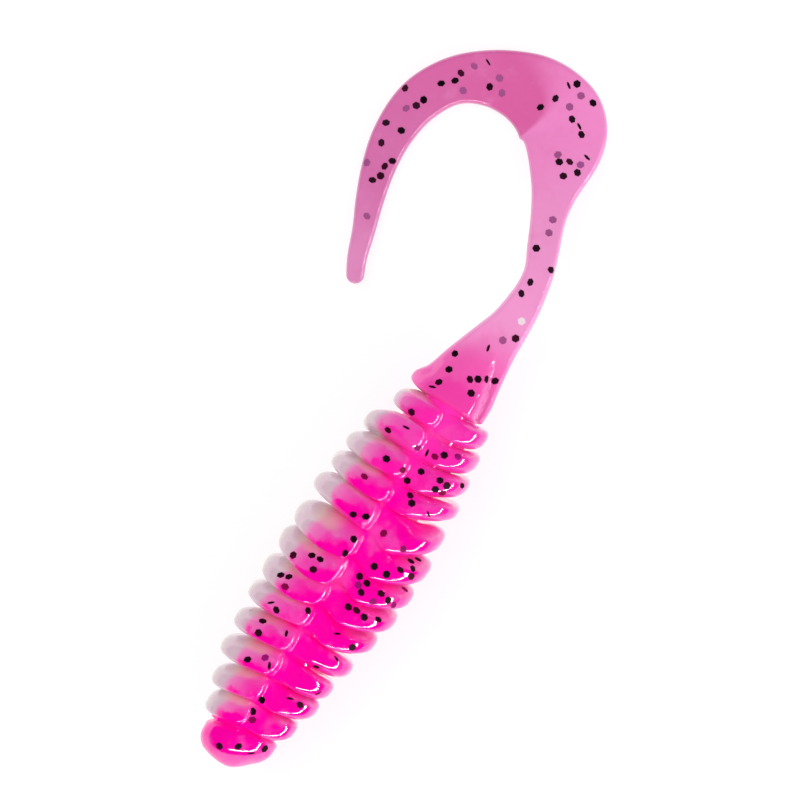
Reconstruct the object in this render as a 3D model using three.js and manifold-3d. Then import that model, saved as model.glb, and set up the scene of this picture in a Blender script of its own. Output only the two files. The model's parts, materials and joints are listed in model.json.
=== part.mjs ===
// A ribbed soft plastic grub with a curly tail, in millimetres, +Z up. It lies on its flank.
// The origin is the middle of the flat end of the nose, +X runs along the body to the tail, and +Y
// points to the side that the tail curls to. The soft casting is divided at the thin valley behind
// each rib, and along the tail, into segments that turn on each other.
import * as THREE from "three";
import { mergeVertices } from "three/addons/utils/BufferGeometryUtils.js";
import Module from "manifold-3d";

const wasm = await Module();
wasm.setup();

// Clearances
const segmentGap = 0.3; // between two segments, at the hinge
const pearlGap = 0.3; // between a rib and its pearl tip
const rimGap = 0.56; // the least room between two ribs at their rims

// Body
const noseLength = 3;
const noseFlatRadius = 0.65;
const noseRadius = 2.56;
const coreRadius = 2.3;
const ribCount = 13;
const ribPitch = 2.07;
const endRibRadius = 3.2; // the first rib and the collar
const middleRibRadius = 5.08;
const fullness = 0.85; // how quickly the ribs grow from the ends to the middle
const ribFlatness = 0.79; // height of a rib over its width
const ribSquareness = 2.6; // of a rib's outline seen from the nose; 2 would be an ellipse
const ribRake = 7; // degrees that a rib leans to the nose on the curl side
const tailRibRake = 3; // the last rib and the collar
const ribFootReach = 0.3; // how far out a rib's face starts to round, as a share of its reach
const ribShoulderReach = 0.82; // where its face turns in to the rim
const ribShoulderShare = 0.75; // half thickness there, as a share of half the foot's
const grooveDepth = 1.1; // how deep the flank groove cuts into a rib's two faces
const grooveWidth = 17; // degrees round the body
const grooveCentre = 96; // degrees round from the curl side
const pearlDepth = 1.25; // from the rim of a rib to the pink
const aroundBody = 24; // facets

// Tail
const collarThickness = 1.35;
const collarEdgeShare = 0.9; // radius at the collar's two edges, as a share of its rim's
const wedgeLength = 5.4; // from the collar's middle to the first tail hinge
const wedgeHalfHeight = 2.35;
const wedgeStartShare = 0.86; // half width behind the collar, as a share of the collar's radius
const wedgeRings = [0.12, 0.4, 0.7, 1]; // shares of the wedge's length
const stemThickness = 1.5;
const bladeThickness = 1.1;
const tipThickness = 0.8;
const rootWidth = 3.44;
const stemWidth = 2.16;
const bladeWidth = 6;
const tipWidth = 1;
const tailDrop = 3.45; // how far the limp tail hangs below the body's axis, where it lies down
const dropStart = 0.06; // where the tail starts to hang, as a share of its length
const dropEnd = 0.42; // where it lies flat
const endSlant = 9; // degrees that a segment's end slopes back from its middle, so it can turn
const stemSegments = 2;
const bladeSegments = 7;

const degree = Math.PI / 180;
const mix = THREE.MathUtils.lerp;
const twoDigits = (n) => String(n).padStart(2, "0");

const valleyX = (i) => noseLength + ribPitch * i; // the hinge behind rib i; 0 is behind the nose
const ribX = (i) => valleyX(i) - ribPitch / 2;
const collarX = ribX(ribCount + 1);
const tailX = collarX + wedgeLength;

// The tail's middle line, from the first tail hinge. It is a smooth curve through these places:
// distance behind the hinge, distance across, and the width there. A curve point's z holds half the
// width.
const tailStations = [
  [0, -0.2, rootWidth],
  [2.5, -0.43, mix(rootWidth, stemWidth, 0.78)],
  [5.2, -0.1, stemWidth],
  [9.1, 1.55, mix(stemWidth, bladeWidth, 0.11)],
  [12.4, 2.25, mix(stemWidth, bladeWidth, 0.66)],
  [15, 4.2, bladeWidth],
  [15.9, 7.1, mix(bladeWidth, tipWidth, 0.06)],
  [15.1, 10.1, mix(bladeWidth, tipWidth, 0.26)],
  [13.3, 12.4, mix(bladeWidth, tipWidth, 0.38)],
  [10.1, 13.85, mix(bladeWidth, tipWidth, 0.5)],
  [6.5, 13.8, mix(bladeWidth, tipWidth, 0.64)],
  [2.1, 12.5, mix(bladeWidth, tipWidth, 0.84)],
  [-2.4, 10.8, tipWidth],
];
const tailPath = new THREE.CatmullRomCurve3(
  tailStations.map(([x, y, width]) => new THREE.Vector3(tailX + x, y, width / 2)),
  false,
  "centripetal",
);
tailPath.arcLengthDivisions = 400;
const tailLength = tailPath.getLength();

const material = (color, roughness) =>
  new THREE.MeshStandardMaterial({ color, roughness, metalness: 0 });
const hotPink = () => material(0xff1aa6, 0.2);
const tailPink = () => material(0xe583bf, 0.25);
const pearlWhite = () => material(0xd9ccd1, 0.2);

// A closed three.js geometry as a manifold-3d solid
function solidFrom(geometry) {
  const bare = geometry.clone();
  bare.deleteAttribute("normal");
  bare.deleteAttribute("uv");
  const merged = mergeVertices(bare, 1e-4);
  return new wasm.Manifold(
    new wasm.Mesh({
      numProp: 3,
      vertProperties: new Float32Array(merged.attributes.position.array),
      triVerts: new Uint32Array(merged.index.array),
    }),
  );
}

function geometryFrom(solid) {
  const mesh = solid.getMesh();
  const geometry = new THREE.BufferGeometry();
  const positions = new THREE.BufferAttribute(mesh.vertProperties, 3);
  geometry.setAttribute("position", positions);
  geometry.setIndex(new THREE.BufferAttribute(mesh.triVerts, 1));
  geometry.computeVertexNormals();
  return geometry;
}

function moveVertices(geometry, move) {
  const positions = geometry.attributes.position;
  const point = new THREE.Vector3();
  for (let i = 0; i < positions.count; i++) {
    point.fromBufferAttribute(positions, i);
    move(point);
    positions.setXYZ(i, point.x, point.y, point.z);
  }
  return geometry;
}

// A solid of revolution about X from a list of [x, radius], both ends on the axis
function turned(profile) {
  const points = profile.map(([x, r]) => new THREE.Vector2(r, x));
  const geometry = new THREE.LatheGeometry(points, aroundBody);
  geometry.rotateZ(-Math.PI / 2);
  return geometry;
}

// How far the rim of a rib stands from the axis: a rounded box with a groove in each flank
function rimRadius(radius, angle) {
  const across = Math.abs(Math.cos(angle)) / radius;
  const up = Math.abs(Math.sin(angle)) / (radius * ribFlatness);
  const plain = (across ** ribSquareness + up ** ribSquareness) ** (-1 / ribSquareness);
  const turn = (Math.acos(Math.cos(angle)) / degree - grooveCentre) / grooveWidth;
  const depth = Math.min(grooveDepth, plain - coreRadius);
  return plain - depth * Math.exp(-turn * turn);
}

function ribRadius(i) {
  const along = Math.sin((Math.PI * (i - 1)) / ribCount);
  return endRibRadius + (middleRibRadius - endRibRadius) * Math.max(along, 0) ** fullness;
}

// One length of core with its rib. It is turned round, then its rim is pulled to the lobed outline
// and leans over.
function ribSolid(i) {
  const halfLength = (ribPitch - segmentGap) / 2;
  const halfRim = (ribPitch - rimGap) / 2;
  const radius = ribRadius(i);
  const reach = radius - coreRadius;
  const geometry = turned([
    [-halfLength, 0],
    [-halfLength, coreRadius],
    [-halfRim, coreRadius + ribFootReach * reach],
    [-halfRim * ribShoulderShare, coreRadius + ribShoulderReach * reach],
    [0, radius],
    [halfRim * ribShoulderShare, coreRadius + ribShoulderReach * reach],
    [halfRim, coreRadius + ribFootReach * reach],
    [halfLength, coreRadius],
    [halfLength, 0],
  ]);
  const rake = (i < ribCount ? ribRake : tailRibRake) * degree;
  moveVertices(geometry, (p) => {
    const r = Math.hypot(p.y, p.z);
    if (r > coreRadius + 1e-3) {
      const share = (r - coreRadius) / reach;
      const rim = rimRadius(radius, Math.atan2(p.z, p.y));
      const pulled = coreRadius + share * (rim - coreRadius);
      p.y *= pulled / r;
      p.z *= pulled / r;
      p.x -= Math.tan(rake) * p.y;
    }
    p.x += ribX(i);
  });
  return solidFrom(geometry);
}

// The part of rib i's solid on one side of y
function cutAt(solid, i, y, side) {
  const size = 4 * middleRibRadius;
  const box = new THREE.BoxGeometry(size, size, size);
  box.translate(ribX(i), y + (side * size) / 2, 0);
  return solid.intersect(solidFrom(box));
}

function noseGeometry() {
  const end = noseLength - segmentGap / 2;
  return turned([
    [0, 0],
    [0, noseFlatRadius],
    [0.35, 0.62 * noseRadius],
    [0.95, 0.9 * noseRadius],
    [1.6, noseRadius],
    [end - 0.45, 0.97 * noseRadius],
    [end, coreRadius * 0.92],
    [end, 0],
  ]);
}

// The collar, and behind it the thick wedge that flattens into the tail
function tailRootGeometry() {
  const start = valleyX(ribCount) + segmentGap / 2;
  const end = tailX - segmentGap / 2;
  const wedgeStart = collarX + collarThickness / 2;
  const [, endY, endWidth] = tailStations[0];
  const endHalfWidth = endWidth / 2;
  const startHalfWidth = wedgeStartShare * endRibRadius;
  const collar = [
    [start, 0],
    [start, coreRadius],
    [collarX - collarThickness / 2, endRibRadius * collarEdgeShare],
    [collarX, endRibRadius],
    [wedgeStart, endRibRadius * collarEdgeShare],
  ];
  const wedge = wedgeRings.map((share) => [
    mix(wedgeStart, end, share),
    mix(startHalfWidth, endHalfWidth, share),
  ]);
  const geometry = turned([...collar, ...wedge, [end, 0]]);
  return moveVertices(geometry, (p) => {
    const share = THREE.MathUtils.clamp((p.x - wedgeStart) / (end - wedgeStart), 0, 1);
    const halfWidth = mix(startHalfWidth, endHalfWidth, share);
    const halfHeight = mix(wedgeHalfHeight, stemThickness / 2, share);
    if (share > 0) p.z *= halfHeight / halfWidth;
    p.y += endY * share;
    if (share === 0 && Math.hypot(p.y, p.z) > coreRadius + 1e-3) {
      p.x -= Math.tan(tailRibRake * degree) * p.y;
    }
  });
}

const smooth = (a, b, x) => THREE.MathUtils.smoothstep(x, a, b);
const tailHeight = (share) => -tailDrop * smooth(dropStart, dropEnd, share);

function tailThickness(share) {
  const blade = mix(stemThickness, bladeThickness, smooth(0, 0.35, share));
  return mix(blade, tipThickness, smooth(0.6, 1, share));
}

// A point of the tail's flat outline: share of the length, and side from -1 to 1
function tailEdge(share, side) {
  const at = tailPath.getPointAt(THREE.MathUtils.clamp(share, 0, 1));
  const along = tailPath.getTangentAt(THREE.MathUtils.clamp(share, 0, 1));
  const flat = new THREE.Vector2(along.x, along.y).normalize();
  return new THREE.Vector2(at.x - flat.y * at.z * side, at.y + flat.x * at.z * side);
}

// One segment of the tail: its flat outline, extruded, then hung at its height
function tailSegment(index) {
  const count = stemSegments + bladeSegments + 1;
  const steps = 5;
  const slant = (share) =>
    (tailPath.getPointAt(share).z * Math.tan(endSlant * degree)) / tailLength;
  const first = index / count;
  const last = (index + 1) / count;
  const isTip = index === count - 1;
  const half = segmentGap / 2 / tailLength;
  const edgeStart = first + half + slant(first);
  const edgeEnd = isTip ? 1 - 0.5 / tailLength : last - half - slant(last);
  const outline = [tailEdge(first + half, 0)];
  for (let k = 0; k <= steps; k++) {
    outline.push(tailEdge(mix(edgeStart, edgeEnd, k / steps), -1));
  }
  outline.push(tailEdge(isTip ? 1 : last - half, 0));
  for (let k = steps; k >= 0; k--) {
    outline.push(tailEdge(mix(edgeStart, edgeEnd, k / steps), 1));
  }
  const middle = (first + last) / 2;
  const thickness = tailThickness(middle);
  const geometry = new THREE.ExtrudeGeometry(new THREE.Shape(outline), {
    depth: thickness,
    bevelEnabled: false,
  });
  const samples = 12;
  const stations = Array.from({ length: samples + 1 }, (_, k) => {
    const share = mix(first, Math.min(last, 1), k / samples);
    return { share, at: tailPath.getPointAt(share) };
  });
  return moveVertices(geometry, (p) => {
    const near = stations.reduce((best, s) =>
      Math.hypot(s.at.x - p.x, s.at.y - p.y) < Math.hypot(best.at.x - p.x, best.at.y - p.y) ? s : best,
    );
    p.z += tailHeight(near.share) - thickness / 2;
  });
}

const grub = new THREE.Group();

function addNode(parent, name, geometry, finish) {
  const mesh = new THREE.Mesh(geometry, finish);
  mesh.name = name;
  parent.add(mesh);
}

const body = new THREE.Group();
grub.add(body);
addNode(body, "nose", noseGeometry(), hotPink());
for (let i = 1; i <= ribCount; i++) {
  const whole = ribSolid(i);
  const pearlY = ribRadius(i) - pearlDepth;
  const pink = cutAt(whole, i, pearlY - pearlGap / 2, -1);
  const pearl = cutAt(whole, i, pearlY + pearlGap / 2, 1);
  addNode(body, "rib_" + twoDigits(i), geometryFrom(pink), hotPink());
  addNode(body, "pearl_" + twoDigits(i), geometryFrom(pearl), pearlWhite());
}
addNode(body, "tail_root", tailRootGeometry(), hotPink());

const tail = new THREE.Group();
grub.add(tail);
for (let k = 0; k < stemSegments; k++) {
  addNode(tail, "stem_" + (k + 1), tailSegment(k), tailPink());
}
for (let k = 0; k < bladeSegments; k++) {
  addNode(tail, "blade_" + (k + 1), tailSegment(stemSegments + k), tailPink());
}
addNode(tail, "tail_tip", tailSegment(stemSegments + bladeSegments), tailPink());

export default grub;
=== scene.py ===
import json
import math
import random

import bmesh
import bpy
import numpy as np
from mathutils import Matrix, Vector, noise
from mathutils.bvhtree import BVHTree

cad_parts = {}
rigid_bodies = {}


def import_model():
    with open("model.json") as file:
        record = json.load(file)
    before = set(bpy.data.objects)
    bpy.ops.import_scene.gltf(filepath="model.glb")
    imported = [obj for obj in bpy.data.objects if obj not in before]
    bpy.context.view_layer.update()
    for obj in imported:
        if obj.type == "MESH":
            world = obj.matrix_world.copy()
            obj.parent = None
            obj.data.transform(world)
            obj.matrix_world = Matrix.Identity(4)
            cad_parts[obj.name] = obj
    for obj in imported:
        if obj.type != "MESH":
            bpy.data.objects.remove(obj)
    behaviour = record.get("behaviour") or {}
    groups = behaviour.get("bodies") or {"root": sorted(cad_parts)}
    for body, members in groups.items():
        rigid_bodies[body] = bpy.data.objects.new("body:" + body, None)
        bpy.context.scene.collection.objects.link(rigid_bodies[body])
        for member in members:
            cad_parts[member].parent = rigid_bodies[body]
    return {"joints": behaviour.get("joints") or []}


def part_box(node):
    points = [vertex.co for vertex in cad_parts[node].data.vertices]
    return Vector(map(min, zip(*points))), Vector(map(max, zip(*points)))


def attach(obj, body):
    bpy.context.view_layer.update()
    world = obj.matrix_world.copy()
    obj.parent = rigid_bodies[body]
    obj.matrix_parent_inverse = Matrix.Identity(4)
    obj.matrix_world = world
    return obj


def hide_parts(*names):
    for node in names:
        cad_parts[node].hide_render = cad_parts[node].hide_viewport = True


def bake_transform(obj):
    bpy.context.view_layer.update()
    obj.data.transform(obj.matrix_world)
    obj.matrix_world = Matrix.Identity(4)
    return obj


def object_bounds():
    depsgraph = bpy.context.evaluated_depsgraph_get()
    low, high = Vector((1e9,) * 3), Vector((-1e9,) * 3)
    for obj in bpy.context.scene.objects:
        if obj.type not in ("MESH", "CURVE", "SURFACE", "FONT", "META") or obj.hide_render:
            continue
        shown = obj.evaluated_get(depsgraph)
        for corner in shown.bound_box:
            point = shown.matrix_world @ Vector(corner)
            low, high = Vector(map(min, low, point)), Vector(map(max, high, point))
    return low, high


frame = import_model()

cadBox = [list(corner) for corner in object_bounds()]
toMetres = 0.001  # everything below is worked out in millimetres


# ---- the frame: bodies in order from the nose, and the hinge behind each
joints = {joint["parent"]: joint for joint in frame["joints"]}
chain = ["nose"]
while chain[-1] in joints:
    chain.append(joints[chain[-1]]["child"])
hinges = [Vector(joints[name]["pos_m"]) / toMetres for name in chain[:-1]]
ribNames = [name for name in chain if name.startswith("rib_")]
ribCount = len(ribNames)
tailNames = chain[chain.index("tail_root") + 1:]
tailHinges = hinges[chain.index("tail_root"):]


def boxOf(node):
    low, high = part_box(node)
    return low / toMetres, high / toMetres


def smooth(low, high, x):
    share = np.clip((np.asarray(x, float) - low) / (high - low), 0, 1)
    return share * share * (3 - 2 * share)


def wobble(points, scale, seed):
    # smooth noise, one value for each point
    shift = Vector((seed * 7.3, seed * 3.1, seed * 5.7))
    flat = points.reshape(-1, 3)
    values = [noise.noise(Vector(p) * scale + shift) for p in flat]
    return np.array(values).reshape(points.shape[:-1])


# ---- mesh helpers
def loopMesh(name, rows, marks):
    # a closed skin: loops of points, one after another, with a fan over each end
    rowCount, around = rows.shape[:2]
    points = rows.reshape(-1, 3)
    index = np.arange(rowCount * around).reshape(rowCount, around)
    turned = np.roll(index, -1, axis=1)
    quads = np.stack([index[:-1], turned[:-1], turned[1:], index[1:]], axis=-1).reshape(-1, 4)
    faces = quads.tolist()
    extra = []
    for row, flip in ((0, True), (rowCount - 1, False)):
        middle = len(points) + len(extra)
        extra.append(rows[row].mean(axis=0))
        for a, b in zip(index[row], turned[row]):
            faces.append([int(b), int(a), middle] if flip else [int(a), int(b), middle])
    allPoints = np.vstack([points, extra]) * toMetres
    mesh = bpy.data.meshes.new(name)
    mesh.from_pydata(allPoints.tolist(), [], faces)
    for mark, values in marks.items():
        ends = [values[0].mean(), values[-1].mean()]
        attribute = mesh.attributes.new(mark, "FLOAT", "POINT")
        attribute.data.foreach_set("value", np.append(values.reshape(-1), ends).astype(np.float32))
    place = mesh.attributes.new("place", "FLOAT_VECTOR", "POINT")
    place.data.foreach_set("vector", (allPoints / toMetres).astype(np.float32).reshape(-1))
    shell = bmesh.new()
    shell.from_mesh(mesh)
    if shell.calc_volume(signed=True) < 0:
        bmesh.ops.reverse_faces(shell, faces=shell.faces[:])
    shell.verts.ensure_lookup_table()
    for edge in shell.edges:
        onRow = [v.index // around for v in edge.verts]
        if onRow[0] == onRow[1] and onRow[0] in (0, rowCount - 1):
            edge.smooth = False
    for face in shell.faces:
        face.smooth = True
    shell.to_mesh(mesh)
    shell.free()
    piece = bpy.data.objects.new(name, mesh)
    bpy.context.scene.collection.objects.link(piece)
    return piece


# ---- body
body = {
    "around": 168,  # points round a rib
    "steps": 27,  # points over a rib from flank to flank
    "squareness": 2.9,  # of a rib's outline seen from the nose; 2 is an ellipse
    "edgeRound": 2.7,  # of a rib's edge; 2 is a half circle
    "thickness": 1.96,  # of a rib at its foot
    "footDepth": 0.2,  # how far a rib's foot is sunk in the core
    "rake": 7.0,  # degrees that a rib leans to the nose on the curl side
    "grooveTop": 0.0,  # across, where the upper lobe ends
    "grooveBottom": -0.3,  # across, where the lower lobe starts to rise
    "upperEnd": 0.55,  # length of the upper lobe's rounded end
    "lowerEnd": 1.7,
    "roundEnd": 0.55,  # how much further out a lobe ends at its flanks
    "grooveRadii": (3.2, 3.8, 5.0),  # of ribs at the ends of the body, near them and in its middle
    "grooveDepths": (0.35, 0.5, 0.68),  # of the groove in those ribs
    "grooveRise": 0.12,  # least height of the groove's floor above the core
    "fuller": 0.1,  # how far the soft rim stands out past the plain one
    "coreShare": 0.7,  # of a rib's reach across, at the ends of the body
    "coreRadius": 2.55,
    "coreBelow": 0.22,  # how far the core lies under the floor of the groove
    "unevenness": 0.07,
    "thicknessSpread": (0.94, 1.03),  # from rib to rib
    "seed": 4,
}

# How each rib flops, from the nose: lean of its upper and lower lobe in degrees, where their tips
# have moved along the body, how far the rib has shifted across, how deep its pearl tip is, how
# thick it is and how far it reaches.
ribHabits = [
    (8, 8, -0.2, 0.3, -0.15, 1.0, 1.0, 1.0),
    (8, 8, -0.4, 0.25, -0.03, 1.1, 1.0, 1.0),
    (8, 3, -0.25, -0.15, 0.18, 1.25, 1.0, 1.0),
    (8, 0, -0.12, -0.25, 0.12, 0.95, 1.0, 0.98),
    (8, 16, 0.08, 0.2, 0.05, 1.2, 1.0, 1.0),
    (16, 16, 0.15, 0.15, -0.05, 1.3, 1.02, 1.0),
    (21, 18, 0.4, 0.15, -0.05, 1.2, 1.02, 1.0),
    (17, 20, 0.3, 0.25, 0.0, 1.3, 1.12, 1.0),
    (2, 19, 0.75, 0.55, 0.18, 1.45, 1.12, 1.0),
    (8, 7, 0.65, 0.8, 0.15, 1.3, 1.0, 1.0),
    (5, 9, 0.25, 0.65, 0.28, 1.2, 1.0, 1.0),
    (-12, 9, 0.0, 0.4, 0.33, 0.75, 1.0, 1.0),
    (2, 8, 0.3, 0.2, 0.1, 0.45, 0.95, 0.94),
]


def plainRim(radius, height, angle):
    # a rib's outline from the nose without its groove
    n = body["squareness"]
    across = np.abs(np.cos(angle)) / radius
    up = np.abs(np.sin(angle)) / height
    return 1 / (across ** n + up ** n) ** (1 / n)


def grooveDepth(radius):
    return np.interp(radius, body["grooveRadii"], body["grooveDepths"])


def lobeShare(across):
    # 1 on the two lobes and 0 in the groove between them
    upper = np.clip((across - body["grooveTop"]) / body["upperEnd"], 0, 1)
    lower = smooth(0, body["lowerEnd"], body["grooveBottom"] - across)
    return np.sqrt(1 - (1 - upper) ** 2) + lower


def coreRim(radius, height, angle):
    # the core's outline under a rib: round, and higher where the ribs are
    reach = min(body["coreRadius"], body["coreShare"] * radius)
    top = height - grooveDepth(radius) - body["coreBelow"]
    return 1 / np.sqrt((np.cos(angle) / reach) ** 2 + (np.sin(angle) / top) ** 2)


def ribRows(x, radius, height, habit, thickness, seed):
    upperLean, lowerLean, upperShift, lowerShift, sway, pearl, fatness, reach = habit
    angle = np.linspace(0, 2 * math.pi, body["around"], endpoint=False)[None, :]
    over = np.linspace(-math.pi / 2, math.pi / 2, body["steps"])[:, None]
    side = np.sign(over) * np.abs(np.sin(over)) ** (2 / body["edgeRound"])
    rise = np.abs(np.cos(over)) ** (2 / body["edgeRound"])
    plain = plainRim(radius * reach + body["fuller"], height, angle)
    depth = grooveDepth(radius)
    core = coreRim(radius, height, angle)
    floor = np.maximum(core + body["grooveRise"], plain - depth)
    inward = plain * np.cos(angle) - body["roundEnd"] * side ** 2
    rim = floor + (plain - floor) * np.clip(lobeShare(inward), 0, 1)
    foot = core - body["footDepth"]
    uneven = wobble(np.stack([np.cos(angle) + x, np.sin(angle), 0 * angle], axis=-1), 1.3, seed)
    rim = rim + 1.6 * body["unevenness"] * uneven
    r = foot + rise * (rim - foot)
    y = r * np.cos(angle)
    z = r * np.sin(angle)
    above = np.clip((r - core) / (radius - core), 0, 1.2)
    upperSide = smooth(-0.8, 0.4, y)
    lean = np.tan(np.radians(upperLean * upperSide + lowerLean * (1 - upperSide)))
    shift = upperShift * smooth(0.2, radius, y) + lowerShift * smooth(0.2, radius, -y)
    half = thickness * fatness / 2 * (1 + 0.12 * uneven)
    along = x + half * side - math.tan(math.radians(body["rake"])) * y * above ** 0.5
    lifted = (z + np.sqrt(z * z + 1) - 1) / 2
    along = along + shift - lean * lifted * smooth(0, 0.6, above)
    points = np.stack([along, y + sway * above, z], axis=-1)
    ripple = wobble(points, 0.9, seed + 3)[..., None]
    points = points + body["unevenness"] * 0.5 * above[..., None] * ripple
    marks = {
        "flank": side + 0 * angle,
        "rise": above,
        "pearlLine": y - (radius - pearl) + 0 * over,
        "tipDistance": radius - np.abs(y),
        "fromNose": along,
        "across": y,
        "hollow": (plain - rim) / depth + 0 * over,
    }
    return points, marks


skins = []  # every visible skin with the bodies that it follows
skinTurns = {}  # where a skin that crosses a hinge starts and stops turning


def keep(piece, material, replaced, *bodies):
    piece.data.materials.append(material)
    if len(bodies) == 1:
        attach(piece, bodies[0])
    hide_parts(*replaced)
    skins.append((piece, bodies))


# ---- materials
class Wire:
    # a node's output; sums and products of wires add their Math nodes
    def __init__(self, paint, socket):
        self.paint = paint
        self.socket = socket

    def math(self, operation, first, second):
        return self.paint.node("ShaderNodeMath", {"operation": operation}, [first, second])

    def __add__(self, other):
        return self.math("ADD", self, other)

    def __sub__(self, other):
        return self.math("SUBTRACT", self, other)

    def __rsub__(self, other):
        return self.math("SUBTRACT", other, self)

    def __mul__(self, other):
        return self.math("MULTIPLY", self, other)

    def __pow__(self, other):
        return self.math("POWER", self, other)

    def __abs__(self):
        return self.math("ABSOLUTE", self, 0)

    def most(self, other):
        return self.math("MAXIMUM", self, other)

    __radd__ = __add__
    __rmul__ = __mul__


class Paint:
    def __init__(self, name):
        self.material = bpy.data.materials.new(name)
        self.material.use_nodes = True
        self.tree = self.material.node_tree
        self.shader = self.tree.nodes["Principled BSDF"]

    def node(self, kind, settings, values, output=0):
        # settings are set first, as they decide which sockets there are
        made = self.tree.nodes.new(kind)
        for name, value in settings.items():
            setattr(made, name, value)
        named = values.items() if isinstance(values, dict) else enumerate(values)
        for key, value in named:
            if isinstance(value, Wire):
                self.tree.links.new(value.socket, made.inputs[key])
            else:
                made.inputs[key].default_value = value
        return Wire(self, made.outputs[output])

    def mark(self, name, output="Fac"):
        return self.node("ShaderNodeAttribute", {"attribute_name": name}, [], output)

    def noise(self, scale, detail=3.0, roughness=0.5):
        place = self.mark("place", "Vector")
        values = {"Vector": place, "Scale": scale, "Detail": detail, "Roughness": roughness}
        return self.node("ShaderNodeTexNoise", {}, values, "Fac") - 0.5

    def step(self, value, low, high):
        # 0 below low, 1 above high, smooth between
        settings = {"interpolation_type": "SMOOTHSTEP", "clamp": True}
        values = {"Value": value, "From Min": low, "From Max": high}
        return self.node("ShaderNodeMapRange", settings, values)

    def mix(self, share, first, second):
        settings = {"data_type": "RGBA", "clamp_factor": True}
        return self.node("ShaderNodeMix", settings, {0: share, 6: first, 7: second}, 2)

    def bump(self, height, strength, distance):
        values = {"Height": height, "Strength": strength, "Distance": distance}
        return self.node("ShaderNodeBump", {}, values)

    def finish(self, **sockets):
        names = {
            "color": "Base Color",
            "roughness": "Roughness",
            "coat": "Coat Weight",
            "coatRoughness": "Coat Roughness",
            "subsurface": "Subsurface Weight",
            "subsurfaceScale": "Subsurface Scale",
            "subsurfaceRadius": "Subsurface Radius",
            "glow": "Emission Color",
            "glowStrength": "Emission Strength",
            "ior": "IOR",
            "specular": "Specular IOR Level",
            "normal": "Normal",
        }
        for key, value in sockets.items():
            socket = self.shader.inputs[names[key]]
            if isinstance(value, Wire):
                self.tree.links.new(value.socket, socket)
            else:
                socket.default_value = value
        return self.material


def color(red, green, blue):
    # a colour as seen on a screen, 0 to 255, in the renderer's own linear terms
    shares = (red / 255, green / 255, blue / 255)
    return [s / 12.92 if s <= 0.04045 else ((s + 0.055) / 1.055) ** 2.4 for s in shares] + [1]


vinyl = {
    "hot": color(242, 0, 158),
    "rear": color(236, 50, 166),
    "rim": color(222, 84, 170),
    "light": color(228, 80, 172),
    "pale": color(226, 126, 183),
    "pearl": color(194, 168, 180),
    "glassy": color(188, 178, 172),
    "straw": color(212, 188, 160),
    "roughness": 0.055,
    "coat": 0.6,
    "coatRoughness": 0.04,
    "subsurface": 0.16,
    "bleed": (1.0, 0.3, 0.7),  # how far red, green and blue spread in it
    "bleedDistance": 0.0013,
    "glow": 0.14,  # painted glow: emission that stands in for light coming through from the far side
    "hollowGlow": 1.3,  # how much more of that painted glow in the groove, to lighten its shade, and in the pearl tips, to lighten their shaded flanks
    "pearlGlow": 0.9,
}


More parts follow.
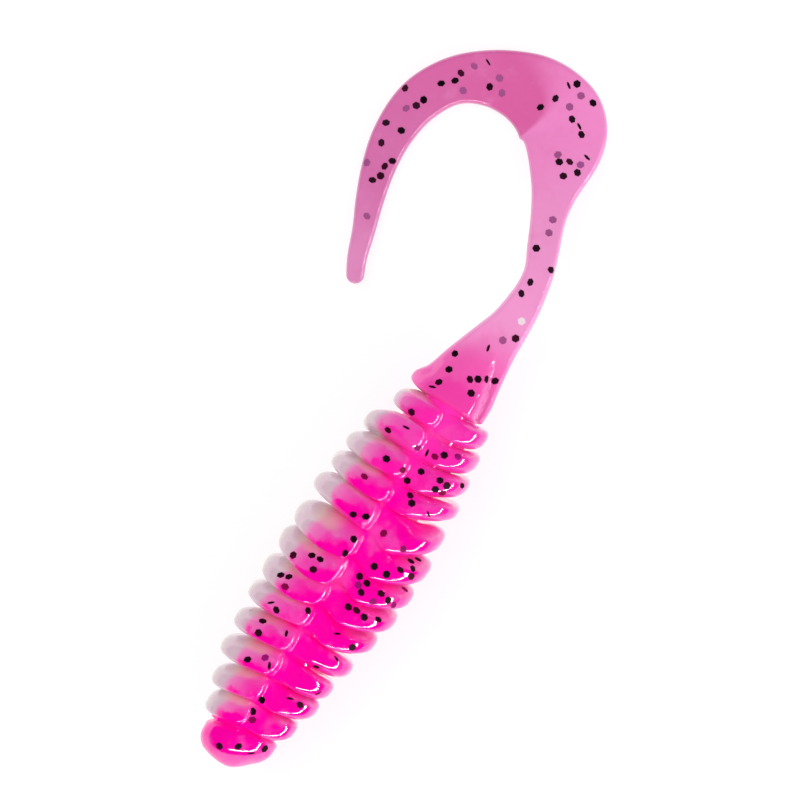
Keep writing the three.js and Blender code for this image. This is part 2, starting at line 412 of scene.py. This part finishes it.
def bodyVinyl():
    paint = Paint("bodyVinyl")
    flank = paint.mark("flank")
    rise = paint.mark("rise")
    pearlLine = paint.mark("pearlLine")
    tipDistance = paint.mark("tipDistance")
    fromNose = paint.mark("fromNose")
    across = paint.mark("across")
    hollow = paint.mark("hollow")
    cloud = paint.noise(0.42, 2)
    fine = paint.noise(1.5, 4)
    grain = paint.noise(5, 3)
    hot = paint.mix(paint.step(fromNose + cloud * 12, 20, 30) * 0.85, vinyl["hot"], vinyl["rear"])
    hot = paint.mix(paint.step(cloud + fine * 0.5, 0.02, 0.22) * 0.5, hot, vinyl["light"])
    onLower = paint.step(across, 0.3, -0.6)
    nearTip = paint.step(tipDistance + cloud * 2.4, 2.3, 0.9)
    # paler flanks, mostly the tail-facing one: partly the thinner see-through plastic there,
    # partly painted light that the flanks catch
    tailSide = paint.step(flank + cloud * 1.1 + fine * 0.5, 0.3, 0.8)
    tailSide = tailSide * (1 - onLower * (1 - nearTip))
    noseSide = paint.step(flank * -1 + cloud * 0.9, 0.6, 0.98) * 0.4
    thinLitFlanks = tailSide.most(noseSide) * paint.step(rise, 0.05, 0.5)
    base = paint.mix(thinLitFlanks, hot, vinyl["light"])
    base = paint.mix(paint.step(thinLitFlanks + fine * 0.8, 0.75, 1.3) * 0.7, base, vinyl["pale"])
    skinDepth = tipDistance + cloud * 0.5 + fine * 0.3 - abs(flank) ** 4 * 0.3
    base = paint.mix(paint.step(skinDepth, 0.5, 0.1) * onLower, base, vinyl["rim"])
    edge = pearlLine + abs(flank) ** 2 * 0.4 + cloud * 0.8 + fine * 0.35 + grain * 0.15
    flames = flank + cloud * 1.9 + fine * 1.1 + edge * 0.22
    milky = paint.step(edge, -3.0, -0.8) * paint.step(flames, -0.6, -0.1)
    base = paint.mix(milky * 0.6, base, vinyl["light"])
    base = paint.mix(milky * paint.step(edge, -1.5, 0.05) * 0.85, base, vinyl["pale"])
    base = paint.mix(paint.step(edge, -0.75, 0.1) * 0.6, base, vinyl["pale"])
    base = paint.mix(paint.step(edge, -0.35, 0.2), base, vinyl["pearl"])
    glassy = paint.step(skinDepth, 0.55, 0.0) * paint.step(edge, 0.0, 0.4)
    base = paint.mix(glassy * 0.6, base, vinyl["glassy"])
    straw = paint.step(edge, -2.2, -0.6) * paint.step(flank + cloud * 0.6, 0.6, 0.95)
    straw = straw * paint.step(edge, 0.8, 0.0)
    base = paint.mix(straw * 0.5, base, vinyl["straw"])
    inPearl = paint.step(edge, -0.5, 0.3)
    # painted light: the emission glows with the base colour, and more strongly in the groove and
    # the pearl tips to lighten their shade
    paintedGlowScale = 1 + hollow * vinyl["hollowGlow"] + inPearl * vinyl["pearlGlow"]
    lit = paint.node("ShaderNodeVectorMath", {"operation": "SCALE"}, {0: base, "Scale": paintedGlowScale})
    ripple = paint.bump(fine * 0.6 + cloud, 0.2, 0.0002)
    return paint.finish(
        color=base,
        roughness=vinyl["roughness"],
        coat=vinyl["coat"],
        coatRoughness=vinyl["coatRoughness"],
        subsurface=vinyl["subsurface"],
        subsurfaceRadius=vinyl["bleed"],
        subsurfaceScale=vinyl["bleedDistance"],
        glow=lit,
        glowStrength=vinyl["glow"],
        normal=ripple,
    )


bodyPaint = bodyVinyl()

ribData = []
for i, name in enumerate(ribNames):
    low, high = boxOf(name)
    radius = boxOf(name.replace("rib", "pearl"))[1].y
    height = min(high.z, -low.z)
    ribData.append((name, (hinges[i].x + hinges[i + 1].x) / 2, radius, height))
rootHigh = boxOf("tail_root")[1]
collarX = ribData[-1][1] + (ribData[1][1] - ribData[0][1])
ribData.append(("tail_root", collarX, rootHigh.y, rootHigh.z))

random.seed(body["seed"])
for i, (name, x, radius, height) in enumerate(ribData[:-1]):
    thickness = body["thickness"] * random.uniform(*body["thicknessSpread"])
    rows, marks = ribRows(x, radius, height, ribHabits[i], thickness, body["seed"] + i)
    piece = loopMesh("skin_" + name, rows, marks)
    keep(piece, bodyPaint, [name, name.replace("rib", "pearl")], name)


webs = {
    "around": 72,  # points round a web
    "steps": 13,
    "reach": 0.55,  # to each side of the hinge
    "turn": 0.3,  # the part of that reach that bends
}
farOff = 9  # a mark's value where its colour never shows


def coreRows(start, end, radius, height, count):
    angle = np.linspace(0, 2 * math.pi, webs["around"], endpoint=False)[None, :]
    along = np.linspace(start, end, count)[:, None]
    core = coreRim(radius, height, angle)
    x, y, z = np.broadcast_arrays(along, core * np.cos(angle), core * np.sin(angle))
    points = np.stack([x, y, z], axis=-1)
    flat = np.zeros(points.shape[:2])
    marks = {"flank": flat, "rise": flat, "pearlLine": flat - farOff, "tipDistance": flat + farOff}
    marks.update({"fromNose": points[..., 0], "across": points[..., 1], "hollow": flat + 1})
    return points, marks


for i in range(ribCount + 1):
    x = hinges[i].x
    sides = [ribData[max(i - 1, 0)], ribData[min(i, ribCount)]]
    radius, height = (min(side[k] for side in sides) for k in (2, 3))
    rows, marks = coreRows(x - webs["reach"], x + webs["reach"], radius, height, webs["steps"])
    piece = loopMesh("web_" + chain[i], rows, marks)
    piece.data.materials.append(bodyPaint)
    start = Vector((x - webs["turn"], 0, 0)) * toMetres
    end = Vector((x + webs["turn"], 0, 0)) * toMetres
    chain[i + 1]
    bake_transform(piece)
    skinTurns[piece.name] = (start, end)
    skins.append((piece, (chain[i], chain[i + 1])))

nose = {
    "around": 120,
    "steps": 40,
    "flat": 0.62,  # radius of the blunt end
    "length": 3.25,
    "widest": 0.62,  # where it is widest, as a share of the steps
    "shoulder": 0.42,  # share of its radius that it loses at the first web
    "lean": 12.5,  # degrees
    "lowerFullness": 1.15,
    "upperFullness": 0.9,
    "heightShare": 0.97,
    "unevenness": 0.06,
}


def noseRows():
    radius = boxOf("nose")[1].y
    angle = np.linspace(0, 2 * math.pi, nose["around"], endpoint=False)[None, :]
    over = np.linspace(0, 1, nose["steps"])[:, None]
    # a blunt front, the fullest place past the middle, and a round shoulder down to the first web
    swell = np.sin(np.clip(over / nose["widest"], 0, 1) * math.pi / 2) ** 0.9
    front = nose["flat"] + (radius - nose["flat"]) * swell
    back = 1 - nose["shoulder"] * smooth(0.72, 1.05, over) ** 1.2
    r = front * back
    x = nose["length"] * (1 - np.cos(over * math.pi * 0.5)) ** 0.62 + 0 * angle
    fullness = np.where(np.cos(angle) < 0, nose["lowerFullness"], nose["upperFullness"])
    y = r * np.cos(angle) * fullness
    z = r * np.sin(angle) * nose["heightShare"]
    x = x - math.tan(math.radians(nose["lean"])) * y * smooth(0.3, 2.0, r)
    x = np.maximum(x, 0)
    points = np.stack([x, y, z], axis=-1)
    uneven = nose["unevenness"] * wobble(points, 0.8, 21)[..., None]
    points = points + uneven * smooth(0.2, 1.0, x)[..., None]
    flat = np.zeros(points.shape[:2])
    marks = {
        "flank": flat + 0.85 * smooth(0.78, 1.0, over),
        "rise": flat + 1,
        "pearlLine": flat - farOff,
        "tipDistance": flat + np.where(y > 0, farOff, radius + y + 0.6),
        "fromNose": x,
        "across": y,
        "hollow": flat,
    }
    return points, marks


rows, marks = noseRows()
keep(loopMesh("skin_nose", rows, marks), bodyPaint, ["nose"], "nose")
print("body:", len(skins), "skins on the nose, ribs and webs")

# ---- tail
tail = {
    "around": 72,  # points round a section
    "step": 0.26,  # between sections
    "evening": 0.75,  # how far the outline is smoothed to each side
    "turnEvening": 3.2,  # the same for the way that the sections face
    "edgeRound": 0.36,  # radius of the moulded edge
    "rootHalf": 0.8,  # half thickness where the tail leaves the wedge
    "bladeHalf": 0.55,
    "tipHalf": 0.4,
    "coneHeight": 2.75,  # the wedge's thick cone: half height at the collar
    "coneUpper": 3.1,  # and how far it reaches to each side there
    "coneLower": 2.85,
    "coneWaves": 0.035,
    "coneLength": 6.2,
    "coneLoss": (0.86, 0.5),  # share of its lower and upper reach that it loses along its length
    "coneSquareness": 7,  # of its lower side
    "joinSharpness": 5,  # of the line where the cone meets the flat tail
    "squared": (1.0, 3.5),  # distances between which the sections turn to follow the tail
    "thinBy": 0.3,  # share of the tail where it is down to the blade's thickness
    "tipFrom": 0.6,  # and where it starts to thin again
    "cornerRound": 2.2,
    "cornerLength": 0.6,  # rounding of the wedge's corners at the collar
    "tipLength": 0.62,  # rounding of the far end
    "endZone": 0.7,  # at both ends, where sections lie closer
    "dropStart": 0.06,  # shares of the tail between which it sinks to what it lies on
    "dropEnd": 0.42,
    "unevenness": 0.035,
    "seed": 31,
    "roughness": 0.12,
    "coat": 0.5,
    "coatRoughness": 0.05,
    "specular": 0.3,
}

# The tail's middle line and full width, from the first tail hinge: along, across, width.
tailStations = [
    (-6.5, 0.36, 5.9),
    (-6.0, 0.38, 6.1),
    (-5.3, 0.42, 6.15),
    (-4.75, 0.13, 5.55),
    (-4.2, 0.06, 5.3),
    (-2.8, -0.02, 4.65),
    (-0.8, -0.22, 3.7),
    (1.2, -0.48, 2.95),
    (2.55, -0.5, 2.65),
    (4.05, -0.4, 2.3),
    (5.3, -0.16, 2.2),
    (6.65, 0.4, 2.35),
    (9.15, 1.47, 2.65),
    (10.65, 2.0, 3.3),
    (12.1, 2.48, 4.4),
    (13.4, 2.92, 5.4),
    (14.7, 3.58, 6.15),
    (15.57, 4.65, 6.5),
    (16.0, 6.0, 6.1),
    (16.08, 7.5, 5.5),
    (15.8, 8.9, 4.8),
    (15.25, 10.35, 4.15),
    (13.68, 12.47, 3.5),
    (11.4, 13.72, 3.35),
    (8.0, 14.07, 2.9),
    (5.35, 13.6, 2.45),
    (3.2, 12.9, 2.08),
    (1.0, 12.02, 1.68),
    (-0.9, 11.35, 1.45),
    (-2.5, 10.52, 1.25),
]


def evened(values, reach):
    # a running average over some samples to each side, so that no station shows as a corner
    before = 2 * values[0] - values[reach:0:-1]
    after = 2 * values[-1] - values[-2 : -reach - 2 : -1]
    window = np.hanning(2 * reach + 1) / np.hanning(2 * reach + 1).sum()
    padded = np.vstack([before, values, after])
    columns = [np.convolve(padded[:, k], window, "valid") for k in range(values.shape[1])]
    return np.stack(columns, axis=1)


def runOf(points):
    # how far each point is along the line through them
    return np.concatenate([[0], np.cumsum(np.linalg.norm(np.diff(points[:, :2], axis=0), axis=1))])


def curveThrough(points, step):
    # a smooth curve through points, as evenly spaced samples and their distances along it
    points = np.array(points, float)
    knots = runOf(points)
    gaps = np.diff(knots)[:, None]
    slopes = np.diff(points, axis=0) / gaps
    inner = (slopes[:-1] * gaps[1:] + slopes[1:] * gaps[:-1]) / (gaps[1:] + gaps[:-1])
    tangents = np.vstack([slopes[:1], inner, slopes[-1:]])
    at = np.linspace(0, knots[-1], int(knots[-1] / step) * 4)
    i = np.clip(np.searchsorted(knots, at, side="right") - 1, 0, len(gaps) - 1)
    t = ((at - knots[i]) / gaps[i, 0])[:, None]
    curve = (
        (2 * t ** 3 - 3 * t ** 2 + 1) * points[i]
        + (t ** 3 - 2 * t ** 2 + t) * gaps[i] * tangents[i]
        + (3 * t ** 2 - 2 * t ** 3) * points[i + 1]
        + (t ** 3 - t ** 2) * gaps[i] * tangents[i + 1]
    )
    curve = evened(curve, int(tail["evening"] / (at[1] - at[0])))
    run = runOf(curve)
    ends = np.linspace(0, tail["endZone"], 12, endpoint=False)
    inner = np.linspace(tail["endZone"], run[-1] - tail["endZone"], int(run[-1] / step))
    even = np.concatenate([ends, inner, run[-1] - ends[::-1]])
    columns = [np.interp(even, run, curve[:, k]) for k in range(curve.shape[1])]
    return np.stack(columns, axis=1), even


def runAt(place):
    # how far along the tail's line a place is
    return tailRun[np.argmin(np.hypot(tailLine[:, 0] - place.x, tailLine[:, 1] - place.y))]


tailLine, tailRun = curveThrough(tailStations, tail["step"])
tailLine[:, 0] += tailHinges[0].x
hingeRuns = [runAt(hinge) for hinge in tailHinges]
tailBottom = min(hinge.z for hinge in tailHinges)


def tailSections():
    # every section of the tail from the collar to the tip, as loops of points
    forward = np.stack([np.gradient(tailLine[:, k], tailRun) for k in (0, 1)], axis=1)
    forward = evened(forward, int(tail["turnEvening"] / tail["step"]))
    square = 1 - smooth(*tail["squared"], tailRun)[:, None]  # the base is cut straight across
    forward = forward * (1 - square) + np.array([1, 0]) * square
    forward /= np.linalg.norm(forward, axis=1)[:, None]
    left = np.stack([-forward[:, 1], forward[:, 0]], axis=1)
    fromRoot = tailRun - hingeRuns[0]
    share = fromRoot / (tailRun[-1] - hingeRuns[0])
    corner = np.clip(1 - tailRun / tail["cornerLength"], 0, 1)
    tip = np.clip(1 - (tailRun[-1] - tailRun) / tail["tipLength"], 0, 1)
    bend = tail["cornerRound"]
    ends = np.maximum((1 - corner ** bend) ** (1 / bend) * np.sqrt(1 - tip * tip), 0.03)
    half = (tailLine[:, 2] / 2 * ends)[:, None]
    angle = np.linspace(0, 2 * math.pi, tail["around"], endpoint=False)[None, :]
    across = np.cos(angle)
    fromEdge = half * (1 - np.abs(across))
    toBlade = tail["bladeHalf"] - tail["rootHalf"]
    toTip = tail["tipHalf"] - tail["bladeHalf"]
    plate = tail["rootHalf"] + toBlade * smooth(0, tail["thinBy"], share)
    plate = (plate + toTip * smooth(tail["tipFrom"], 1, share)) * ends ** 0.5
    rounded = np.clip(fromEdge / np.minimum(tail["edgeRound"], half), 0, 1)
    plateHeight = plate[:, None] * np.sqrt(1 - (1 - rounded) ** 2)
    spent = np.clip(tailRun / tail["coneLength"], 0, 1)[:, None]
    wavy = 1 + tail["coneWaves"] * np.sin(tailRun * 6.1 + 1.3 * np.sin(tailRun * 2.3))[:, None]
    side = half * across
    lowerLoss, upperLoss = tail["coneLoss"]
    lowerHalf = tail["coneLower"] * (1 - lowerLoss * spent) * wavy
    upperHalf = tail["coneUpper"] * (1 - upperLoss * spent)
    lower = 1 - np.abs(side / lowerHalf) ** tail["coneSquareness"]
    upper = 1 - np.abs(side / upperHalf) ** 2
    inside = np.clip(np.where(side < 0, lower, upper), 0, 1)
    coneHeight = tail["coneHeight"] * (1 - spent) ** 0.7 * np.sqrt(inside) * ends[:, None]
    sharp = tail["joinSharpness"]
    height = (plateHeight ** sharp + coneHeight ** sharp) ** (1 / sharp)
    height = height * (np.abs(np.sin(angle)) > 1e-6)
    middle = tailBottom * smooth(tail["dropStart"], tail["dropEnd"], share)[:, None]
    x = tailLine[:, :1] + left[:, :1] * half * across
    y = tailLine[:, 1:2] + left[:, 1:2] * half * across
    points = np.stack([x, y, middle + height * np.sign(np.sin(angle))], axis=-1)
    uneven = wobble(points, 0.45, tail["seed"])
    lifted = np.sign(np.sin(angle)) * uneven * tail["unevenness"] * smooth(0, 0.4, fromEdge)
    points[..., 2] += lifted
    marks = {
        "along": fromRoot[:, None] + 0 * across,
        "edge": fromEdge,
        "cone": coneHeight + 0 * across,
        "side": side,
    }
    return points, marks


tailColors = {
    "root": color(246, 106, 186),
    "cone": color(248, 86, 178),
    "stem": color(242, 152, 207),
    "flare": color(242, 138, 201),
    "crown": color(219, 98, 163),
    "blade": color(213, 112, 171),
    "tip": color(228, 142, 194),
    "milky": color(242, 158, 211),
    "rim": color(206, 146, 180),
}


def tailVinyl():
    paint = Paint("tailVinyl")
    along = paint.mark("along")
    edge = paint.mark("edge")
    cone = paint.mark("cone")
    side = paint.mark("side")
    cloud = paint.noise(0.3, 3)
    fine = paint.noise(1.1, 4, 0.6)
    pastRoot = paint.step(along + side * 0.5 + cloud * 3, -4.0, 1.5)
    base = paint.mix(pastRoot, tailColors["root"], tailColors["stem"])
    base = paint.mix(paint.step(along + side * 0.6 + cloud * 4, 8, 15), base, tailColors["flare"])
    # deeper pink past the crease on the crown: painted shade where the blade turns away from the
    # light
    crease = along + side * 0.15 + cloud * 0.6
    softer = paint.step(side, 1.0, -2.5) * 4
    pastCrease = paint.step(crease, 17.4 - softer * 0.3, 18.1 + softer)
    base = paint.mix(pastCrease, base, tailColors["crown"])
    base = paint.mix(paint.step(along + cloud * 6, 20, 33), base, tailColors["blade"])
    base = paint.mix(paint.step(along + cloud * 4, 34, 42), base, tailColors["tip"])
    base = paint.mix(paint.step(fine + cloud, 0.0, 0.5) * 0.3, base, tailColors["milky"])
    base = paint.mix(paint.step(fine * -1 - cloud, 0.0, 0.5) * 0.25, base, tailColors["crown"])
    base = paint.mix(paint.step(cone + cloud * 0.8, 0.35, 1.5) * 0.8, base, tailColors["cone"])
    base = paint.mix(paint.step(cone + fine * 0.8, 1.7, 2.3) * 0.5, base, vinyl["hot"])
    base = paint.mix(paint.step(edge + cloud * 0.1, 0.16, 0.03) * 0.4, base, tailColors["rim"])
    ripple = paint.bump(fine * 0.5 + cloud, 0.2, 0.0002)
    return paint.finish(
        color=base,
        roughness=tail["roughness"],
        coat=tail["coat"],
        coatRoughness=tail["coatRoughness"],
        specular=tail["specular"],
        normal=ripple,
    )


tailPaint = tailVinyl()
sections, sectionMarks = tailSections()


def tailPart(name, first, last, replaced, *bodies):
    # the tail's sections from one place along it to another, as a closed piece
    rows = slice(np.searchsorted(tailRun, first), np.searchsorted(tailRun, last) + 1)
    marks = {mark: values[rows] for mark, values in sectionMarks.items()}
    piece = loopMesh(name, sections[rows], marks)
    keep(piece, tailPaint, replaced, *bodies)
    return sections[rows]


tailBodies = ["tail_root"] + tailNames
middles = [(a + b) / 2 for a, b in zip(hingeRuns, hingeRuns[1:])]
cuts = [hingeRuns[0] - (hingeRuns[1] - hingeRuns[0]) / 2] + middles
cuts.append(hingeRuns[-1] + (hingeRuns[-1] - hingeRuns[-2]) / 2)
tailPart("skin_wedge", 0, cuts[0], ["tail_root"], "tail_root")
for k, hinge in enumerate(tailHinges):
    bodies = tailBodies[k : k + 2]
    rows = tailPart("skin_" + bodies[1], cuts[k], cuts[k + 1], [bodies[1]], *bodies)
    piece = skins[-1][0]
    at = np.searchsorted(tailRun, hingeRuns[k])
    ahead = Vector(np.append(tailLine[at + 2, :2] - tailLine[at - 2, :2], 0)).normalized()
    before = max((Vector(p) - hinge).dot(ahead) for p in rows[0])
    after = min((Vector(p) - hinge).dot(ahead) for p in rows[-1])
    start = (hinge + ahead * before * 0.98) * toMetres
    end = (hinge + ahead * after * 0.98) * toMetres
    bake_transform(piece)
    skinTurns[piece.name] = (start, end)
tailPart("skin_end", cuts[-1], tailRun[-1], [], tailBodies[-1])
print("tail:", len(tailHinges) + 2, "skins")

# ---- glitter: thin black hexagons frozen just under the surface
glitter = {
    "size": 0.52,  # across the flats
    "thickness": 0.04,
    "proud": 0.018,  # how far a flake stands out of the skin
    "flat": (0.76, 1.0),  # how narrow a flake looks that lies nearly flat, or on edge
    "bar": (0.2, 0.4),
    "barShare": 0.12,  # of the flakes, on edge
    "deepShare": 0.2,  # and deep in the plastic
    "count": 240,  # with those on the sides and underneath
    "clear": 0.55,  # between two flakes
    "footprint": 0.6,  # share of a flake's size that has to lie on one skin
    "tries": 4000,
    "shown": 1.2,  # a flake further below the upper side than this is out of sight from above
    "seed": 11,
}

# Where the flakes crowd: middle along and across, reach along and across, and how many
glitterPatches = [
    (4.3, -0.6, 3.9, 1.9, 9),
    (9.0, 1.6, 2.6, 1.4, 5),
    (8.5, -2.3, 2.8, 1.2, 5),
    (14.0, 2.2, 2.8, 1.7, 9),
    (13.6, -3.0, 3.2, 1.6, 9),
    (17.6, -2.7, 2.6, 1.8, 14),
    (20.0, 0.7, 4.0, 1.7, 6),
    (24.5, -2.6, 3.2, 1.4, 9),
    (25.0, 0.4, 3.2, 1.6, 7),
    (27.0, 2.8, 2.6, 1.2, 4),
    (32.0, 1.5, 2.4, 0.9, 4),
    (34.8, -0.8, 3.2, 1.3, 8),
    (42.8, 0.2, 3.6, 1.4, 6),
    (50.6, 2.2, 2.2, 1.4, 8),
    (53.0, 4.6, 1.8, 2.4, 9),
    (51.6, 10.7, 2.6, 1.9, 8),
    (47.2, 14.0, 3.2, 1.4, 7),
    (42.6, 13.6, 2.4, 1.1, 6),
    (38.5, 12.8, 1.8, 0.6, 1),
]
glintFlake = (38.0, -1.0)  # a flake in the tail painted white: a painted reflection of the light off it


def flakeVinyl():
    paint = Paint("glitterFilm")
    veil = paint.mark("veil")
    hue = paint.mark("hue")
    tint = paint.mark("inTail")
    base = paint.mix(paint.step(hue, 0.5, 1.0), color(14, 3, 9), color(58, 3, 30))
    # a rare flake painted blue: a painted reflection, the blue flash of light off its face
    base = paint.mix(paint.step(hue, 0.985, 0.99), base, color(30, 20, 120))
    # painted reflection: the one flake painted white, as if it caught the light
    base = paint.mix(paint.step(hue, 1.2, 1.3), base, color(236, 214, 226))
    veiled = paint.mix(paint.step(hue, 0.2, 0.8), color(165, 16, 120), color(140, 2, 70))
    veiled = paint.mix(tint, veiled, color(172, 88, 146))
    base = paint.mix(veil, base, veiled)
    return paint.finish(color=base, roughness=0.5, coat=0.0, specular=0.05)


def skinTree(piece):
    points = [v.co / toMetres for v in piece.data.vertices]
    return BVHTree.FromPolygons(points, [tuple(p.vertices) for p in piece.data.polygons])


trees = [skinTree(piece) for piece, bodies in skins]
flakes = {i: [] for i in range(len(skins))}


def onTop(x, y):
    # the highest skin above a place: its number, the point and the way it faces
    best = None
    for i, tree in enumerate(trees):
        point, normal, index, distance = tree.ray_cast(Vector((x, y, 30)), Vector((0, 0, -1)))
        if point is not None and (best is None or point.z > best[1].z):
            best = (i, point, normal if normal.z > 0 else -normal)
    return best


def addFlake(found, squeeze, veil, hue):
    i, point, normal = found
    flakes[i].append((point, normal, squeeze, veil, hue))


def whole(x, y, i):
    # true where a flake's whole outline lies on one skin
    reach = glitter["size"] * glitter["footprint"]
    around = [onTop(x + reach * a, y + reach * b) for a, b in ((1, 0), (-1, 0), (0, 1), (0, -1))]
    return all(found and found[0] == i for found in around)


random.seed(glitter["seed"])
taken = []
for along, across, reachAlong, reachAcross, count in glitterPatches:
    left = count
    for attempt in range(count * 30):
        if not left:
            break
        x = along + reachAlong * random.uniform(-1, 1)
        y = across + reachAcross * random.uniform(-1, 1)
        found = onTop(x, y)
        if not found or not whole(x, y, found[0]):
            continue
        if any((found[1] - other).length < glitter["clear"] for other in taken):
            continue
        kind = random.random()
        squeeze = glitter["bar"] if kind < glitter["barShare"] else glitter["flat"]
        deep = kind > 1 - glitter["deepShare"]
        veil = min(1, (0.8 if deep else 0) + random.uniform(0, 0.05))
        addFlake(found, random.uniform(*squeeze), veil, random.random())
        taken.append(found[1])
        left -= 1
addFlake(onTop(*glintFlake), 1.0, 0.0, 2.0)

areas = np.array([sum(p.area for p in piece.data.polygons) for piece, bodies in skins])
tries = 0
while tries < glitter["tries"] and len(taken) < glitter["count"]:
    tries += 1
    i = random.choices(range(len(skins)), weights=areas)[0]
    face = random.choice(skins[i][0].data.polygons)
    point = face.center / toMetres
    normal = face.normal.copy()
    buried = any(tree.ray_cast(point + normal * 0.02, normal)[0] for tree in trees)
    seen = onTop(point.x, point.y)
    near = seen and (seen[1] - point).length < glitter["shown"]
    if buried or near or normal.z > 0.1:
        continue
    if any((point - other).length < glitter["clear"] for other in taken):
        continue
    veil = random.choice((0, 0.1, 0.8))
    addFlake((i, point, normal), random.uniform(*glitter["flat"]), veil, random.random())
    taken.append(point)


def flakeMesh(name, tree, some):
    # six-sided plates in one mesh that follow the skin, with how veiled each is and its tint,
    # which also picks the few flakes painted with a glint
    points, faces, veils, hues, inTail = [], [], [], [], []
    reach = glitter["size"] / math.sqrt(3)
    for centre, normal, squeeze, veil, hue in some:
        first = normal.orthogonal().normalized()
        second = normal.cross(first)
        turn = random.uniform(0, math.pi)
        squeezed = random.uniform(0, math.pi)
        base = len(points)
        for level in (glitter["proud"], glitter["proud"] - glitter["thickness"]):
            for ring, share in ((0, 0.0), (1, 0.5), (2, 1.0)):
                for k in range(12 if ring else 1):
                    a = turn + k * math.pi / 6
                    out = reach * share * (1 if k % 2 == 0 else math.cos(math.pi / 6))
                    u, v = out * math.cos(a), out * math.sin(a) * squeeze
                    u, v = (
                        u * math.cos(squeezed) - v * math.sin(squeezed),
                        u * math.sin(squeezed) + v * math.cos(squeezed),
                    )
                    place = tree.find_nearest(centre + first * u + second * v)
                    points.append(place[0] + place[1] * level)
        for k in range(12):
            n = (k + 1) % 12
            faces.append([base, base + 1 + k, base + 1 + n])
            faces.append([base + 1 + k, base + 13 + k, base + 13 + n, base + 1 + n])
            faces.append([base + 25, base + 26 + n, base + 26 + k])
            faces.append([base + 26 + k, base + 26 + n, base + 38 + n, base + 38 + k])
            faces.append([base + 13 + n, base + 13 + k, base + 38 + k, base + 38 + n])
        veils += [veil] * 50
        hues += [hue] * 50
        inTail += [float(centre.x > tailHinges[0].x - 1 or centre.y > 6)] * 50
    mesh = bpy.data.meshes.new(name)
    mesh.from_pydata([p * toMetres for p in points], [], faces)
    for mark, values in (("veil", veils), ("hue", hues), ("inTail", inTail)):
        mesh.attributes.new(mark, "FLOAT", "POINT").data.foreach_set("value", values)
    piece = bpy.data.objects.new(name, mesh)
    bpy.context.scene.collection.objects.link(piece)
    return piece


flakePaint = flakeVinyl()
for i, some in flakes.items():
    if not some:
        continue
    skin, bodies = skins[i]
    name = skin.name.replace("skin", "glitter").replace("web", "glitter_web")
    piece = flakeMesh(name, trees[i], some)
    piece.data.materials.append(flakePaint)
    if len(bodies) == 1:
        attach(piece, bodies[0])
    else:
        start, end = skinTurns[skin.name]
        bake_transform(piece)
print("glitter:", sum(len(some) for some in flakes.values()), "flakes")

# ---- stage, light and camera
stage = {
    "middle": (28.6, 3.2),  # what the camera looks down on
    "width": 57.0,  # of what it sees there
    "distance": 300.0,
    "turn": 57.0,  # degrees that the camera is turned
    "key": ((-0.02, 0.35, 0.45), (0.4, 0.4), 1.05),  # where it is, its size and its power
    "fill": ((-0.1, -0.48, 0.21), (0.6, 0.3), 1.6),
    "gleamTurns": (-148, -108, -68),  # directions, distance, height and size of the thin lights
    "gleamFar": 0.48,
    "gleamHigh": 0.23,
    "gleamSize": (0.32, 0.042),
    "gleamPower": 1.8,
    "sky": 0.66,
    "floorGlow": 0.74,
}
lowest = min(corner[2] for corner in cadBox) / toMetres


def addFloor():
    bpy.ops.mesh.primitive_plane_add(size=3, location=(0.03, 0, lowest * toMetres))
    floor = bpy.context.object
    floor.name = "floor"
    paint = Paint("paperSheet")
    cloud = paint.node("ShaderNodeTexNoise", {}, {"Scale": 9.0, "Detail": 2.0}, "Fac")
    shade = paint.mix(cloud, color(150, 150, 150), color(154, 154, 154))
    white = {"glow": (1, 1, 1, 1), "glowStrength": stage["floorGlow"]}
    floor.data.materials.append(paint.finish(color=shade, roughness=0.7, specular=0.2, **white))


def addLight(name, away, size, power, inGloss):
    data = bpy.data.lights.new(name, "AREA")
    data.shape = "RECTANGLE"
    data.size, data.size_y = size
    data.energy = power
    light = bpy.data.objects.new(name, data)
    aim = Vector((*stage["middle"], 0)) * toMetres
    light.location = aim + Vector(away)
    light.rotation_euler = (-Vector(away)).to_track_quat("-Z", "Y").to_euler()
    light.visible_glossy = inGloss
    light.visible_diffuse = not inGloss
    bpy.context.scene.collection.objects.link(light)


def addCamera():
    data = bpy.data.cameras.new("camera")
    data.sensor_width = 36
    data.lens = data.sensor_width * stage["distance"] / stage["width"]
    data.clip_start = 0.01
    data.clip_end = 20
    camera = bpy.data.objects.new("camera", data)
    x, y = stage["middle"]
    camera.location = Vector((x, y, stage["distance"])) * toMetres
    camera.rotation_euler = (0, 0, -math.radians(stage["turn"]))
    bpy.context.scene.collection.objects.link(camera)
    bpy.context.scene.camera = camera


addFloor()
addLight("key", *stage["key"], False)
addLight("fill", *stage["fill"], False)
for k, turn in enumerate(stage["gleamTurns"]):
    around = math.radians(turn)
    far = stage["gleamFar"]
    away = (far * math.cos(around), far * math.sin(around), stage["gleamHigh"])
    addLight("gleam_" + str(k), away, stage["gleamSize"], stage["gleamPower"], True)
addCamera()
world = bpy.data.worlds.new("world")
bpy.context.scene.world = world
world.use_nodes = True
sky = world.node_tree.nodes["Background"]
sky.inputs["Color"].default_value = (1, 1, 1, 1)
sky.inputs["Strength"].default_value = stage["sky"]
world.cycles_visibility.glossy = False
bpy.context.scene.view_settings.view_transform = "Standard"
print("floor, lights and camera")
